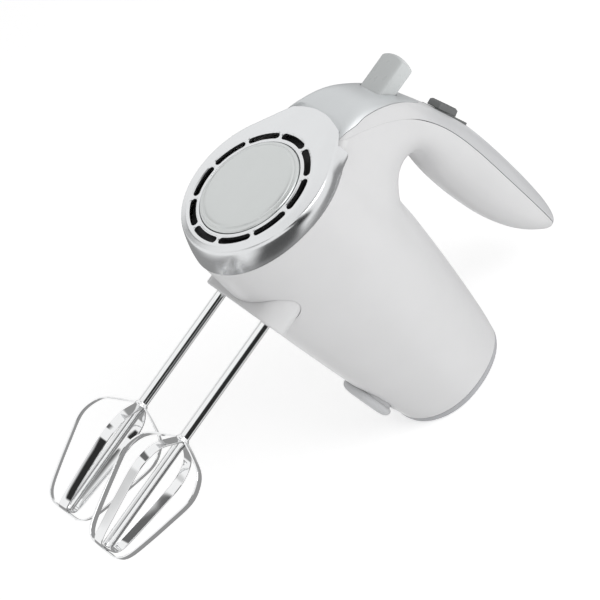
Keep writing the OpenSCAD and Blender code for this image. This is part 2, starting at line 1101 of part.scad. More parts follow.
on_heel() left() beater_shaft();  // left_beater_shaft
on_heel() left() loop(0, left_turn);  // left_outer_loop
on_heel() left() loop(blade_t + 0.1, left_turn + 90);  // left_inner_loop
on_heel() right() beater_shaft();  // right_beater_shaft
on_heel() right() loop(0, right_turn);  // right_outer_loop
on_heel() right() loop(blade_t + 0.1, right_turn + 90);  // right_inner_loop
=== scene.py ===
import json
import math

import bmesh
import bpy
import numpy as np
from mathutils import Matrix, Vector
from mathutils.bvhtree import BVHTree


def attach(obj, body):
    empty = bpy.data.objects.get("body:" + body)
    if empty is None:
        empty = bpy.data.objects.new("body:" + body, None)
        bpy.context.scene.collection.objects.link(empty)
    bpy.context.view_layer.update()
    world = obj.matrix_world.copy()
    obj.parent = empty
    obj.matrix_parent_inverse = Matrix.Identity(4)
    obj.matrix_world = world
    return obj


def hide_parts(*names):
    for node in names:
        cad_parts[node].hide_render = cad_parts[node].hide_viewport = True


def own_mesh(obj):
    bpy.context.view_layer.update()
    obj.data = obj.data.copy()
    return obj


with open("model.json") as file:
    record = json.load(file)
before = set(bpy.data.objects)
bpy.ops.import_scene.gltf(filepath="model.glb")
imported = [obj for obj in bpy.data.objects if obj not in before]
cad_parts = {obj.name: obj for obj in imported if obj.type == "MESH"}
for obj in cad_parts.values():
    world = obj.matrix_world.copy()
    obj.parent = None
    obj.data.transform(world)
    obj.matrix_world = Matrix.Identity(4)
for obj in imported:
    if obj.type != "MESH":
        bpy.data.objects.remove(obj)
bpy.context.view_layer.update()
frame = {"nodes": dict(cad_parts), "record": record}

# ---------------------------------------------------------------- the mixer's own axes
# Shapes are written in millimetres as the CAD writes them: x up, y right, z forward.
# to_row stands them on the heel, in metres.
HEEL_TILT, FACE_TILT, CAP_TILT, SLIDER_TILT = 8.5, 10.0, 6.0, 13.0
HEEL_MID = np.array([41.0, 0.0, -153.4])
HEEL_T = 6.0
FACE_MID = np.array([53.4, 0.0, 45.0])
CAP_BACK = -12.7
SLIDER_MID = np.array([151.4, 0.0, -34.0])
NOTCH_X, NOTCH_Z = 97.2, 35.5
HALF_PITCH = 22.0
WALL, CAP_WALL = 2.2, 1.9
HEEL_Z, CAP_Z = -153.8, 32.5  # the casing's two end planes, on its middle line
LEAN_X = 50                   # the height about which the end planes lean
PANEL_TIP_Z = -12.5           # rear tip of the top panel
COVER_FLOOR = 90              # the handle cover keeps above this height
BUTTON_Z = 12                 # middle of the eject button
FOOT_Z, PORT_Z = -117, -1     # middles of the bowl rest foot and the beater port
UNDERSIDE_TOP = 30            # the cuts for the foot and the port keep below this height
GLAND_X, GLAND_N = 145, 48    # height of the cord gland, and its points round


def turn_y(deg):
    a = math.radians(deg)
    return np.array([[math.cos(a), 0, math.sin(a)], [0, 1, 0], [-math.sin(a), 0, math.cos(a)]])


STAND = turn_y(-HEEL_TILT)
UP = STAND @ np.array([1.0, 0, 0])
FORWARD = STAND @ np.array([0, 0, 1.0])
LEFT = np.array([0, -1.0, 0])


def to_row(points):
    return ((np.asarray(points, float) - HEEL_MID) @ STAND.T + [0, 0, HEEL_T]) / 1000


def placed(points, mid, deg):
    """Points of a local frame that sits at mid and leans by deg about y."""
    return np.asarray(points, float) @ turn_y(deg).T + mid


def local(points, mid, deg):
    return (np.asarray(points, float) - mid) @ turn_y(deg)


# ---------------------------------------------------------------- curves and sections
def curve(rows, count):
    rows = np.array(rows, float)
    u = np.linspace(0, len(rows) - 1, count + 1)
    i = np.minimum(len(rows) - 2, u.astype(int))
    t = (u - i)[:, None]
    a, b = rows[np.maximum(i - 1, 0)], rows[i]
    c, d = rows[i + 1], rows[np.minimum(i + 2, len(rows) - 1)]
    return 0.5 * (2 * b + (c - a) * t + (2 * a - 5 * b + 4 * c - d) * t**2
                  + (3 * b - a - 3 * c + d) * t**3)


def section(half_w, far, near, e_far, e_near, n):
    """[across, along] round a closed section, squarer where the exponent is larger."""
    t = 2 * np.pi * np.arange(n) / n
    s, c = np.sin(t), np.cos(t)
    e = np.where(c > 0, e_far, e_near)
    r = (abs(s) ** e + abs(c) ** e) ** (-1 / e)
    return np.stack([half_w * r * s, np.where(c > 0, far, near) * r * c], 1)


def steps(x, lo, hi):
    t = np.clip((x - lo) / (hi - lo), 0, 1)
    return t * t * (3 - 2 * t)


# ---------------------------------------------------------------- casing forms
HOUSING = [[-155.8, 4, 78, 30.5, 37], [-146, 3, 80.6, 31.8, 38], [-130, 1.8, 84, 34, 40],
           [-100, 0.4, 89.6, 37.5, 43], [-70, 0, 94.6, 40.3, 47], [-40, 0, 99, 42.4, 50.5],
           [-10, 1, 101.6, 43.8, 54], [12, 3.2, 103, 44.2, 56], [32.5, 5.6, 103.6, 44, 57]]
NECK = [[38, 86, -50, 82, 33, 6], [37, 100, -38, 96, 30.5, 7], [35.5, 109, -28, 105, 26.8, 7],
        [30.5, 121, -25, 113, 23.5, 6], [22, 130.5, -25.6, 119.4, 21.6, 5], [8, 140, -29, 123.2, 20.2, 4],
        [-12, 146.6, -36, 122.6, 19.3, 3], [-30, 151.2, -46, 120.8, 18.8, 2.6],
        [-50, 155, -58, 119.8, 18.4, 2.5], [-75, 156.4, -77, 120, 18, 2.5],
        [-104, 156.2, -102, 122.2, 17.6, 2.5], [-126, 155.2, -122, 126.6, 16.6, 2.4],
        [-139, 153.8, -136, 132, 14.6, 2.4], [-147.5, 151.6, -146, 138, 12.2, 2.4],
        [-151.4, 149.2, -151, 141.2, 9, 2.3]]
CAP = [[CAP_BACK, -46, 52.6, 44, 4, math.tan(math.radians(FACE_TILT - CAP_TILT))],
       [-9.5, -45.3, 52.6, 45, 4, 0.045], [-5.5, -43.9, 52, 45.9, 4, 0.02],
       [-2, -42.3, 50.6, 46, 4, 0], [-0.4, -41.4, 49.4, 45.2, 4, 0]]
RIM = [0.4, -38.6, 40.4, 39.2, 0.6, 0]
PANEL_SIDE = [[60, 27], [34, 24.8], [27, 22], [17, 18.8], [5, 15.5], [-5, 11.5], [-10, 7], [-12.5, 0]]
SEAM = [[38, 95], [31, 105], [20, 117], [6, 129], [-9, 137.6], [-31, 143.9], [-58, 146.3],
        [-100, 146.5], [-148, 146.6], [-170, 147]]


def housing_rings(n, count):
    rows = curve(HOUSING, count)
    rows = np.vstack([rows[0] - [7, 0, 0, 0, 0], rows, rows[-1] + [7, 0, 0, 0, 0]])
    rings = []
    for z, low, high, half, mid in rows:
        f = (z - HEEL_Z) / (CAP_Z - HEEL_Z)
        a, b = math.tan(math.radians(HEEL_TILT)), math.tan(math.radians(CAP_TILT))
        lean = a + (b - a) * f
        p = section(half, high - mid, mid - low, 2.05, 2.05, n)
        x = mid + p[:, 1]
        rings.append(np.stack([x, p[:, 0], z - lean * (x - LEAN_X)], 1))
    return rings


def neck_rings(n, count):
    rings = []
    for z1, x1, z0, x0, half, e in curve(NECK, count)[::-1]:
        p = section(half, 1, 1, e, 2.2, n)
        rings.append(np.stack([(x0 + x1) / 2 + (x1 - x0) / 2 * p[:, 1], p[:, 0],
                               (z0 + z1) / 2 + (z1 - z0) / 2 * p[:, 1]], 1))
    return rings


def ring_faces(count, n, first=0):
    """Quads of a tube of count rings of n points."""
    i, k = np.meshgrid(np.arange(count - 1), np.arange(n), indexing="ij")
    a = first + i * n + k
    b = first + i * n + (k + 1) % n
    return np.stack([a, a + n, b + n, b], -1).reshape(-1, 4)


def closed_loft(rings):
    """Vertices and faces of a tube that both ends close."""
    n = len(rings[0])
    faces = [list(map(int, f)) for f in ring_faces(len(rings), n)]
    faces.append(list(range(n)))
    faces.append(list(range((len(rings) - 1) * n, len(rings) * n))[::-1])
    return np.vstack(rings), faces


def fused_surface(voxel):
    """Housing and neck as one skin, filleted where the neck rises from the shoulders.
    Returns vertices, triangles and normals."""
    forms = [closed_loft(housing_rings(240, 90)), closed_loft(neck_rings(200, 150))]
    verts, faces, trees = [], [], []
    base = 0
    for v, f in forms:
        trees.append(BVHTree.FromPolygons([tuple(p) for p in v], f))
        verts.append(v)
        faces += [[i + base for i in face] for face in f]
        base += len(v)
    me = bpy.data.meshes.new("skin_source")
    me.from_pydata(np.vstack(verts).tolist(), [], faces)
    ob = bpy.data.objects.new("skin_source", me)
    bpy.context.scene.collection.objects.link(ob)
    mod = ob.modifiers.new("voxels", "REMESH")
    mod.mode, mod.voxel_size, mod.adaptivity = "VOXEL", voxel, 0.0
    dg = bpy.context.evaluated_depsgraph_get()
    dg.update()
    skin = bpy.data.meshes.new_from_object(ob.evaluated_get(dg))
    bpy.data.objects.remove(ob)
    count = len(skin.vertices)
    v = np.zeros(count * 3)
    skin.vertices.foreach_get("co", v)
    v = v.reshape(-1, 3)
    e = np.zeros(len(skin.edges) * 2, int)
    skin.edges.foreach_get("vertices", e)
    e = e.reshape(-1, 2)
    near = np.array([[t.find_nearest(Vector(p))[3] for t in trees] for p in v])
    crease = (1 - steps(near.max(1), 4, 15)) * (1 - steps(v[:, 2], 18, 31))
    degree = np.bincount(e.ravel(), minlength=count)

    def relax(v, weight, rounds):
        for _ in range(rounds):
            total = np.stack([np.bincount(e[:, 0], v[e[:, 1], k], count)
                              + np.bincount(e[:, 1], v[e[:, 0], k], count) for k in range(3)], 1)
            v = v + (weight * 0.6)[:, None] * (total / degree[:, None] - v)
        return v

    v = relax(v, np.ones(count), 8)
    v = relax(v, crease, 70)
    v = relax(v, np.ones(count), 3)
    skin.vertices.foreach_set("co", v.ravel())
    skin.update()
    skin.calc_loop_triangles()
    t = np.zeros(len(skin.loop_triangles) * 3, int)
    skin.loop_triangles.foreach_get("vertices", t)
    normals = np.zeros(count * 3)
    skin.vertex_normals.foreach_get("vector", normals)
    bpy.data.meshes.remove(skin)
    return v, t.reshape(-1, 3), normals.reshape(-1, 3)


# ---------------------------------------------------------------- cutting sheets along fields
def unit(n):
    return n / np.maximum(np.linalg.norm(n, axis=1), 1e-12)[:, None]


def clip(sheet, field):
    """The part of the sheet where the field is above 0, cut cleanly through its triangles."""
    v, t, n = sheet
    f = field(v)
    inside = f > 0
    count = inside[t].sum(1)
    keep = [t[count == 3]]
    new_v, new_n = [v], [n]
    size = len(v)
    for wanted in (1, 2):
        part = t[count == wanted]
        if not len(part):
            continue
        odd = inside[part] if wanted == 1 else ~inside[part]
        first = odd.argmax(1)
        a, b, c = (part[np.arange(len(part)), (first + k) % 3] for k in range(3))
        pairs = np.vstack([np.stack([a, b], 1), np.stack([a, c], 1)])
        w = (f[pairs[:, 0]] / (f[pairs[:, 0]] - f[pairs[:, 1]]))[:, None]
        key = np.sort(pairs, 1)
        uniq, where, back = np.unique(key, axis=0, return_index=True, return_inverse=True)
        back = back.ravel()
        spots = (v[pairs[:, 0]] * (1 - w) + v[pairs[:, 1]] * w)[where]
        tilts = unit((n[pairs[:, 0]] * (1 - w) + n[pairs[:, 1]] * w)[where])
        new_v.append(spots)
        new_n.append(tilts)
        ab, ac = size + back[:len(a)], size + back[len(a):]
        size += len(uniq)
        if wanted == 1:
            keep.append(np.stack([a, ab, ac], 1))
        else:
            keep.append(np.stack([ab, b, c], 1))
            keep.append(np.stack([ab, c, ac], 1))
    return weld((np.vstack(new_v), np.vstack(keep), np.vstack(new_n)))


def weld(sheet):
    """Drops unused vertices and joins those at the same place."""
    v, t, n = sheet
    used, t = np.unique(t, return_inverse=True)
    t = t.reshape(-1, 3)
    v, n = v[used], n[used]
    _, where, back = np.unique(np.round(v, 5), axis=0, return_index=True, return_inverse=True)
    t = back.ravel()[t]
    v, n = v[where], n[where]
    solid = (t[:, 0] != t[:, 1]) & (t[:, 1] != t[:, 2]) & (t[:, 0] != t[:, 2])
    return v, t[solid], n


def line_distance(q, line):
    """Distance of each 2-D point to a polyline."""
    best = np.full(len(q), 1e9)
    for a, b in zip(line[:-1], line[1:]):
        d = b - a
        t = np.clip(((q - a) @ d) / (d @ d), 0, 1)
        best = np.minimum(best, np.linalg.norm(q - a - t[:, None] * d, axis=1))
    return best


PANEL_LINE = curve(PANEL_SIDE, 90)
SEAM_LINE = curve(SEAM, 120)


def panel_depth(p):
    """How far inside the top panel's outline, in plan."""
    half = np.interp(p[:, 2], PANEL_LINE[::-1, 0], PANEL_LINE[::-1, 1], left=-1)
    d = line_distance(np.stack([p[:, 2], abs(p[:, 1])], 1), PANEL_LINE)
    return np.where((abs(p[:, 1]) < half) & (p[:, 2] > PANEL_TIP_Z), d, -d)


def seam_depth(p):
    """How far above the handle's parting line."""
    x = np.interp(p[:, 2], SEAM_LINE[::-1, 0], SEAM_LINE[::-1, 1])
    d = line_distance(p[:, [2, 0]], SEAM_LINE)
    return np.where(p[:, 0] > x, d, -d)


CAP_NORMAL = turn_y(CAP_TILT) @ np.array([0, 0, 1.0])
CAP_FOOT = placed([[0, 0, CAP_BACK]], FACE_MID, FACE_TILT)[0]


def cap_depth(p):
    """How far in front of the cap's rear edge."""
    return (p - CAP_FOOT) @ CAP_NORMAL


def notch_depth(p):
    return np.minimum(p[:, 0] - NOTCH_X, NOTCH_Z - p[:, 2])


def box_depth(q, half_a, half_b, r):
    """How far inside a rounded rectangle centred on the origin."""
    a = np.maximum(abs(q[:, 0]) - half_a + r, 0)
    b = np.maximum(abs(q[:, 1]) - half_b + r, 0)
    inner = np.minimum(np.maximum(abs(q[:, 0]) - half_a + r, abs(q[:, 1]) - half_b + r), 0)
    return r - np.hypot(a, b) - inner


def stadium_depth(q, half, r):
    """How far inside a stadium whose ends lie at +-half along the first number."""
    return r - np.hypot(np.maximum(abs(q[:, 0]) - half, 0), q[:, 1])


# ---------------------------------------------------------------- making objects
def face_outward(me):
    bm = bmesh.new()
    bm.from_mesh(me)
    bmesh.ops.recalc_face_normals(bm, faces=bm.faces)
    bm.to_mesh(me)
    bm.free()


def object_from(name, verts, faces, body, material, smooth_deg=None, replaces=(), normals=None):
    me = bpy.data.meshes.new(name)
    me.from_pydata(to_row(verts).tolist(), [], [list(map(int, f)) for f in faces])
    me.validate()
    if normals is None:
        face_outward(me)
    me.materials.append(material)
    me.polygons.foreach_set("use_smooth", [True] * len(me.polygons))
    if smooth_deg is not None:
        me.set_sharp_from_angle(angle=math.radians(smooth_deg))
    if normals is not None and len(normals) == len(me.loops):
        me.normals_split_custom_set((unit(normals) @ STAND.T).tolist())
    me.update()
    ob = bpy.data.objects.new(name, me)
    bpy.context.scene.collection.objects.link(ob)
    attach(ob, body)
    if replaces:
        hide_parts(*replaces)
    return ob


def thick_sheet(name, sheet, thick, body, material, replaces=()):
    """A moulded shell: the sheet, its inner face, and a wall round every edge."""
    v, t, n = sheet
    count = len(v)
    inner = v - n * thick
    edges = np.vstack([t[:, [0, 1]], t[:, [1, 2]], t[:, [2, 0]]])
    key = np.sort(edges, 1)
    _, where, uses = np.unique(key, axis=0, return_index=True, return_counts=True)
    rim = edges[where[uses == 1]]
    wall = np.stack([rim[:, 1], rim[:, 0], rim[:, 0] + count, rim[:, 1] + count], 1)
    both = np.vstack([v, inner])
    side = np.cross(both[wall[:, 1]] - both[wall[:, 0]], both[wall[:, 3]] - both[wall[:, 0]])
    # the wall's normals are averaged along the edge, so a curved edge isn't faceted
    acc = np.zeros((count, 3))
    flat = unit(side)
    np.add.at(acc, rim[:, 0], flat)
    np.add.at(acc, rim[:, 1], flat)
    acc = unit(acc)
    # a corner in the edge stays sharp
    soft = (acc[rim[:, 0]] * flat).sum(1) > 0.8, (acc[rim[:, 1]] * flat).sum(1) > 0.8
    n0 = np.where(soft[0][:, None], acc[rim[:, 0]], flat)
    n1 = np.where(soft[1][:, None], acc[rim[:, 1]], flat)
    faces = [*t, *(t[:, ::-1] + count), *wall]
    normals = np.vstack([n[t].reshape(-1, 3), -n[t[:, ::-1]].reshape(-1, 3),
                         np.stack([n1, n0, n0, n1], 1).reshape(-1, 3)])
    return object_from(name, both, faces, body, material, replaces=replaces, normals=normals)


def sheet_from(verts, quads):
    """A sheet with the mesh's own smooth normals."""
    t = np.vstack([quads[:, [0, 1, 2]], quads[:, [0, 2, 3]]])
    v, t, _ = weld((verts, t, verts))
    n = np.zeros_like(v)
    face = np.cross(v[t[:, 1]] - v[t[:, 0]], v[t[:, 2]] - v[t[:, 0]])
    for k in range(3):
        np.add.at(n, t[:, k], face)
    return v, t, unit(n)


def cut_with(ob, tools):
    """Subtracts closed tool meshes (vertices in mixer mm, faces) from a small piece."""
    for v, f in tools:
        me = bpy.data.meshes.new("tool")
        me.from_pydata(to_row(v).tolist(), [], [list(map(int, x)) for x in f])
        me.validate()
        face_outward(me)
        tool = bpy.data.objects.new("tool", me)
        bpy.context.scene.collection.objects.link(tool)
        mod = ob.modifiers.new("cut", "BOOLEAN")
        mod.operation, mod.object, mod.solver = "DIFFERENCE", tool, "EXACT"
        dg = bpy.context.evaluated_depsgraph_get()
        dg.update()
        made = bpy.data.meshes.new_from_object(ob.evaluated_get(dg))
        ob.modifiers.clear()
        old, ob.data = ob.data, made
        bpy.data.meshes.remove(old)
        bpy.data.objects.remove(tool)
    return ob


def sharpen(ob, deg):
    ob.data.polygons.foreach_set("use_smooth", [True] * len(ob.data.polygons))
    ob.data.set_sharp_from_angle(angle=math.radians(deg))
    return ob


def lathe(profile, n=64, axis="x", at=(0, 0, 0)):
    """Closed turned solid from [along, radius] pairs. The axis is the mixer's x or z."""
    t = 2 * np.pi * np.arange(n) / n
    rings = []
    for a, r in profile:
        c, s, o = r * np.cos(t), r * np.sin(t), np.full(n, float(a))
        rings.append(np.stack([o, c, s] if axis == "x" else [c, s, o], 1) + at)
    return closed_loft(rings)


# ---------------------------------------------------------------- materials
def paint_light_forward(m, z0, z1, light):
    """Paints light into the colour: fades it towards a lighter tone between two heights above the heel."""
    nt = m.node_tree
    shader = nt.nodes["Principled BSDF"]
    colour = shader.inputs["Base Color"].links[0].from_socket
    where = nt.nodes.new("ShaderNodeTexCoord")
    axes = nt.nodes.new("ShaderNodeSeparateXYZ")
    ramp = nt.nodes.new("ShaderNodeMapRange")
    ramp.interpolation_type = "SMOOTHSTEP"
    ramp.inputs["From Min"].default_value, ramp.inputs["From Max"].default_value = z0, z1
    mix = nt.nodes.new("ShaderNodeMix")
    mix.data_type = "RGBA"
    mix.inputs["B"].default_value = (*light, 1)
    nt.links.new(where.outputs["Object"], axes.inputs["Vector"])
    nt.links.new(axes.outputs["Z"], ramp.inputs["Value"])
    nt.links.new(ramp.outputs["Result"], mix.inputs["Factor"])
    nt.links.new(colour, mix.inputs["A"])
    nt.links.new(mix.outputs["Result"], shader.inputs["Base Color"])


def material(name, base, rough, metallic=0.0, tint=0.03, tint_scale=45.0, rough_vary=0.05,
             grain=0.02, grain_scale=1800.0, coat=0.0, wear=0.0, stretch=None):
    m = bpy.data.materials.new(name)
    m.use_nodes = True
    nt = m.node_tree
    nodes, link = nt.nodes, nt.links.new
    shader = nodes["Principled BSDF"]
    shader.inputs["Metallic"].default_value = metallic
    shader.inputs["Coat Weight"].default_value = coat
    shader.inputs["Coat Roughness"].default_value = 0.08
    where = nodes.new("ShaderNodeTexCoord")
    spot = where.outputs["Object"]
    if stretch:
        mapping = nodes.new("ShaderNodeMapping")
        mapping.inputs["Scale"].default_value = stretch
        link(spot, mapping.inputs["Vector"])
        fine_spot = mapping.outputs["Vector"]
    else:
        fine_spot = spot
    cloud = nodes.new("ShaderNodeTexNoise")
    cloud.inputs["Scale"].default_value = tint_scale
    cloud.inputs["Detail"].default_value = 3
    link(spot, cloud.inputs["Vector"])
    ramp = nodes.new("ShaderNodeValToRGB")
    ramp.color_ramp.elements[0].position = 0.3
    ramp.color_ramp.elements[1].position = 0.7
    dark = [max(0, c * (1 - tint)) for c in base]
    ramp.color_ramp.elements[0].color = (*dark, 1)
    ramp.color_ramp.elements[1].color = (*base, 1)
    link(cloud.outputs["Fac"], ramp.inputs["Fac"])
    colour = ramp.outputs["Color"]
    if wear:
        geo = nodes.new("ShaderNodeNewGeometry")
        edge = nodes.new("ShaderNodeMapRange")
        edge.inputs["From Min"].default_value = 0.52
        edge.inputs["From Max"].default_value = 0.62
        link(geo.outputs["Pointiness"], edge.inputs["Value"])
        mix = nodes.new("ShaderNodeMix")
        mix.data_type = "RGBA"
        amount = nodes.new("ShaderNodeMath")
        amount.operation = "MULTIPLY"
        amount.inputs[1].default_value = wear
        link(edge.outputs["Result"], amount.inputs[0])
        link(amount.outputs["Value"], mix.inputs["Factor"])
        link(colour, mix.inputs["A"])
        mix.inputs["B"].default_value = (*[min(1, c * 1.25 + 0.03) for c in base], 1)
        colour = mix.outputs["Result"]
    link(colour, shader.inputs["Base Color"])
    grit = nodes.new("ShaderNodeTexNoise")
    grit.inputs["Scale"].default_value = tint_scale * 6
    grit.inputs["Detail"].default_value = 4
    link(fine_spot, grit.inputs["Vector"])
    level = nodes.new("ShaderNodeMapRange")
    level.inputs["From Min"].default_value = 0.3
    level.inputs["From Max"].default_value = 0.7
    level.inputs["To Min"].default_value = max(0.0, rough - rough_vary)
    level.inputs["To Max"].default_value = rough + rough_vary
    link(grit.outputs["Fac"], level.inputs["Value"])
    link(level.outputs["Result"], shader.inputs["Roughness"])
    fine = nodes.new("ShaderNodeTexNoise")
    fine.inputs["Scale"].default_value = grain_scale
    fine.inputs["Detail"].default_value = 2
    link(fine_spot, fine.inputs["Vector"])
    bump = nodes.new("ShaderNodeBump")
    bump.inputs["Strength"].default_value = 1.0
    bump.inputs["Distance"].default_value = grain / 1000
    link(fine.outputs["Fac"], bump.inputs["Height"])
    link(bump.outputs["Normal"], shader.inputs["Normal"])
    return m


WHITE = material("white_gloss_plastic", (0.665, 0.665, 0.67), 0.36, tint=0.02, grain=0.003, grain_scale=900,
                 coat=0.08)
COVER_WITH_PAINTED_LIGHT = material("handle_cover_plastic_painted_light", (0.55, 0.555, 0.565), 0.38, tint=0.02, grain=0.003,
                 grain_scale=900, coat=0.05)
# painted light: the handle cover's grey fades to near white towards its front end
paint_light_forward(COVER_WITH_PAINTED_LIGHT, 0.145, 0.180, (0.655, 0.655, 0.66))
PALE = material("pale_grey_plastic", (0.43, 0.435, 0.45), 0.40, tint=0.03, grain=0.004, grain_scale=1100)
SILVER = material("satin_silver_paint", (0.76, 0.77, 0.78), 0.21, metallic=1.0, tint=0.015, rough_vary=0.02,
                  grain=0.0004, grain_scale=2600, tint_scale=70)
BADGE = material("satin_badge_paint", (0.66, 0.68, 0.675), 0.33, metallic=0.9, tint=0.015, rough_vary=0.02,
                 grain=0.0006, grain_scale=2600, tint_scale=70)
PANEL = material("satin_panel_paint", (0.66, 0.68, 0.69), 0.38, metallic=0.6, tint=0.015, rough_vary=0.02,
                 grain=0.0006, grain_scale=2600, tint_scale=70)
CONTROL = material("grey_control_plastic", (0.58, 0.60, 0.60), 0.30, tint=0.02, grain=0.002,
                   grain_scale=1500, wear=0.2)
CONTROL_DARK = material("grey_bezel_plastic", (0.135, 0.14, 0.14), 0.42, tint=0.05, grain=0.006,
                        grain_scale=1500, wear=0.2)
CHROME = material("polished_chrome", (0.88, 0.885, 0.89), 0.05, metallic=1.0, tint=0.03, rough_vary=0.02,
                  grain=0.0002, grain_scale=500)
# painted shade: near-black colour that darkens the vent slots from behind
VENT_SHADE_LOOK = material("painted_vent_shade", (0.03, 0.03, 0.032), 0.6, tint=0.2, grain=0.05, grain_scale=1200)

SLOT_LOOKS = {
    "shell_white": WHITE, "light_grey": PALE, "satin_silver": SILVER, "control_grey": CONTROL,
    "beater_chrome": CHROME,
    "steel": material("turned_steel", (0.56, 0.57, 0.59), 0.3, metallic=1.0, tint=0.08, grain=0.006,
                      grain_scale=1400, stretch=(0.2, 1, 1), wear=0.3),
    "lamination": material("stacked_laminations", (0.20, 0.20, 0.215), 0.45, metallic=0.9, tint=0.15,
                           grain=0.05,
                           grain_scale=500, stretch=(0.15, 0.15, 3.0), wear=0.3),
    "copper": material("enamelled_copper", (0.62, 0.27, 0.11), 0.28, metallic=0.9, tint=0.2, grain=0.06,
                       grain_scale=600, stretch=(0.3, 0.3, 2.0)),
    "bronze": material("sintered_bronze", (0.48, 0.33, 0.16), 0.42, metallic=0.9, tint=0.15, grain=0.02,
                       wear=0.2),
    "nylon": material("natural_nylon", (0.74, 0.71, 0.60), 0.42, tint=0.06, grain=0.012, wear=0.1),
    "carbon": material("pressed_carbon", (0.03, 0.03, 0.033), 0.55, tint=0.3, grain=0.02),
    "board_green": material("green_laminate_board", (0.02, 0.12, 0.05), 0.35, tint=0.2, grain=0.01,
                            grain_scale=700),
    "yellow_film": material("yellow_film_wrap", (0.70, 0.48, 0.06), 0.3, tint=0.08, grain=0.01, coat=0.2),
    "black_plastic": material("black_moulded_plastic", (0.025, 0.025, 0.028), 0.4, tint=0.2, grain=0.01,
                              wear=0.3),
    "wire_red": material("red_wire_insulation", (0.42, 0.02, 0.02), 0.35, tint=0.12, grain=0.008),
}
for part in frame["record"]["subparts"]:
    node = frame["nodes"][part["node"]]
    node.data.materials.clear()
    node.data.materials.append(SLOT_LOOKS[part["material_slot"]])

# ---------------------------------------------------------------- casing pieces
fused = fused_surface(1.15)
CAP_GAP, PANEL_GAP, SEAM_GAP, HEEL_GAP = 0.25, 0.1, 0.2, 0.3


def well_depth(p, grow):
    return box_depth(np.stack([p[:, 2] - BUTTON_Z, p[:, 1]], 1), 5.2 + grow, 9.5 + grow, 2.4 + grow)


def bezel_depth(p, grow):
    q = local(p, SLIDER_MID, -SLIDER_TILT)
    flat = box_depth(np.stack([q[:, 2] + 3, q[:, 1]], 1), 14 + grow, 6.5 + grow, 1.6 + grow)
    return np.where(q[:, 0] > -8, flat, -9.0)


def gland_depth(p, grow):
    return np.where(p[:, 2] < -120, 3.6 + grow - np.hypot(p[:, 0] - GLAND_X, p[:, 1]), -9.0)


def panel_here(p):
    """Depth in the region that the top panel takes out of the casing."""
    return np.minimum(panel_depth(p), np.minimum(notch_depth(p) + LAP, p[:, 2] + 20))


# the neck's skin runs on a little way under the cap's edge, so the joint doesn't show a hole
LAP, DIP = 3.0, 1.6


def dipped(sheet):
    v, t, n = sheet
    under = np.maximum(steps(NOTCH_X + 0.1 - v[:, 0], 0, 0.6), steps(v[:, 2] + 0.1 - NOTCH_Z, 0, 0.6))
    under = under * (v[:, 2] > 15) * (v[:, 0] > NOTCH_X - 6)
    return v - n * (DIP * under)[:, None], t, n


front = clip(fused, lambda p: -np.minimum(cap_depth(p), -notch_depth(p) - LAP) - CAP_GAP)

panel = clip(front, lambda p: panel_depth(p) - PANEL_GAP)
panel = clip(panel, lambda p: notch_depth(p) + LAP)
panel = clip(panel, lambda p: -well_depth(p, 0.7))
thick_sheet("top_panel_skin", dipped(panel), WALL, "housing", PANEL, replaces=["top_panel"])


def seam_gap(p):
    """Half the parting gap: it closes up where the seam runs down the neck."""
    return SEAM_GAP * (1 - 0.88 * steps(p[:, 2], -14, 4))


rest = clip(front, lambda p: -panel_here(p) - PANEL_GAP)
cover = clip(rest, lambda p: seam_depth(p) - seam_gap(p))
cover = clip(cover, lambda p: p[:, 0] - COVER_FLOOR)
cover = clip(cover, lambda p: -bezel_depth(p, 0.15))
cover = clip(cover, lambda p: -gland_depth(p, 0.1))
thick_sheet("handle_cover_skin", cover, WALL, "housing", COVER_WITH_PAINTED_LIGHT, replaces=["handle_cover"])

shell = clip(rest, lambda p: np.maximum(-seam_depth(p), COVER_FLOOR - p[:, 0]) - seam_gap(p))
shell = clip(shell, lambda p: local(p, HEEL_MID, HEEL_TILT)[:, 2] - HEEL_GAP)
shell = clip(shell, lambda p: np.maximum(-stadium_depth(np.stack([p[:, 1], p[:, 2] - PORT_Z], 1),
                                                        HALF_PITCH, 11.15), p[:, 0] - UNDERSIDE_TOP))
shell = clip(shell, lambda p: np.maximum(-stadium_depth(np.stack([p[:, 2] - FOOT_Z, p[:, 1]], 1), 3.4,
                                                        12.2), p[:, 0] - UNDERSIDE_TOP))
shell = clip(shell, lambda p: -gland_depth(p, 0.1))
thick_sheet("motor_housing_skin", shell, WALL, "housing", WHITE, replaces=["motor_housing"])

# ---------------------------------------------------------------- front cap
SLOT_R, SLOT_HALF, SLOT_SWEEP, SLOTS = 34.7, 2.0, math.radians(13), 10


def slot_depth(q):
    """How far inside the nearest vent slot, in the face's own plane."""
    r, a = np.hypot(q[:, 0], q[:, 1]), np.arctan2(q[:, 1], q[:, 0])
    step = 2 * np.pi / SLOTS
    off = abs(a - np.round(a / step) * step)
    past = np.maximum(off - SLOT_SWEEP, 0)
    ends = np.hypot(r * np.cos(past) - SLOT_R, r * np.sin(past))
    return SLOT_HALF - np.where(past > 0, ends, abs(r - SLOT_R))


FLARE_DIR, FLARE_R, FLARE_END = math.radians(54.2), 45.66, 17.0


def flare(p):
    """How far the cap's outline runs out past its oval, towards the neck."""
    a = abs(np.arctan2(p[:, 0], p[:, 1]))
    out = FLARE_R / np.cos(np.minimum(a, FLARE_DIR) - FLARE_DIR) - FLARE_R
    return np.where(a < FLARE_DIR, FLARE_END * np.tanh(out / FLARE_END), 0)


def cap_ring(row, n):
    z, low, high, half, mid, lean = row
    p = section(half, high - mid, mid - low, 2, 2, n)
    grow = 1 + 0.7 * steps(-z, 2, 12)
    p = p * (1 + grow * flare(p) / np.linalg.norm(p, axis=1))[:, None]
    x = mid + p[:, 1]
    return np.stack([x, p[:, 0], z + lean * x], 1)


